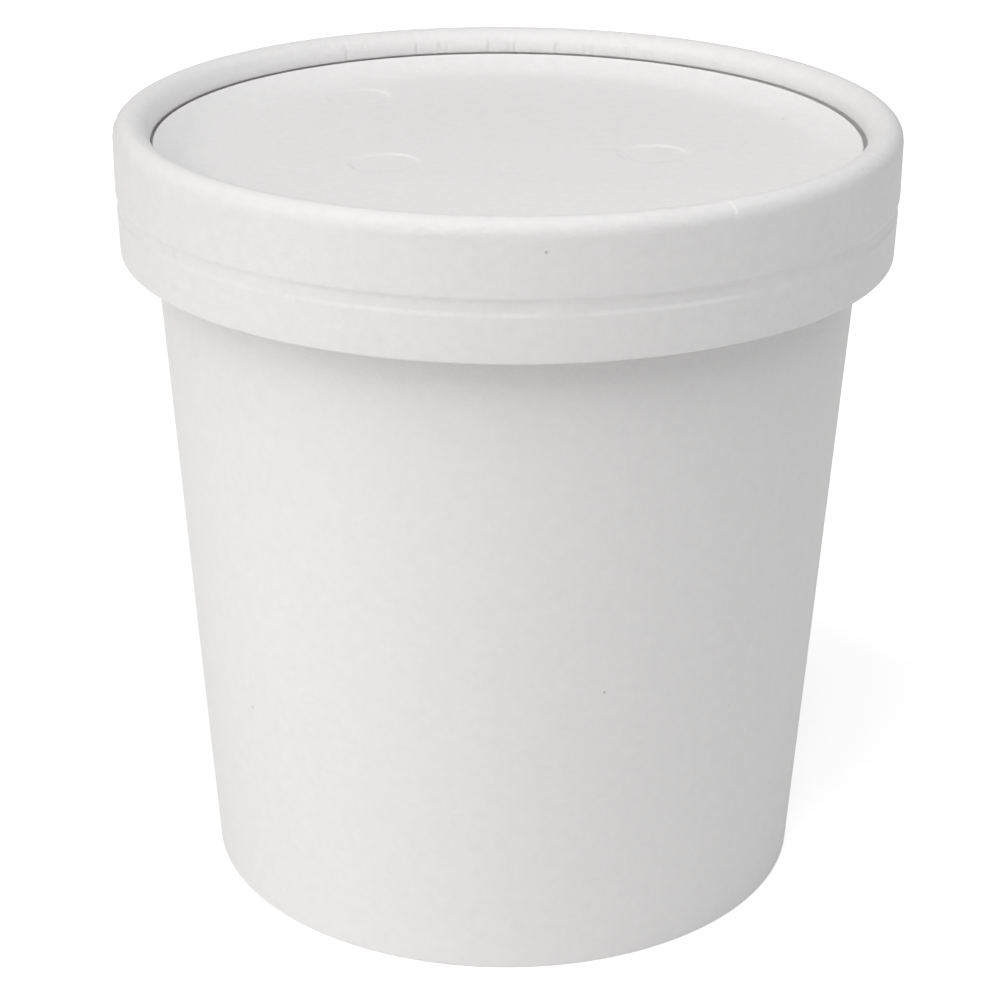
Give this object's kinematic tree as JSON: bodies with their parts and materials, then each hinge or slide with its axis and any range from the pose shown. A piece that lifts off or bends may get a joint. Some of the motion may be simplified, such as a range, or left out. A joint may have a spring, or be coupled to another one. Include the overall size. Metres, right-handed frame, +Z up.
{
  "type": "paper cup with lid",
  "caption": "Round tapered paper food cup, shut with a recessed paper lid that has a rolled rim and a deep grooved band.",
  "frame": {"origin": "centre of the foot ring, on the surface that the cup stands on", "axes": "+Z up along the cup's axis, from the foot to the lid; +Y points at the lapped side seam, away from the view"},
  "size_m": [0.1, 0.1, 0.1023],
  "materials": {
    "cup_board": "matt coated paperboard",
    "lid_board": "matt coated paperboard"
  },
  "bodies": {
    "root": {"cup_body": "cup_board", "cup_base": "cup_board", "lid_disc": "lid_board", "lid_band": "lid_board"}
  },
  "joints": []
}
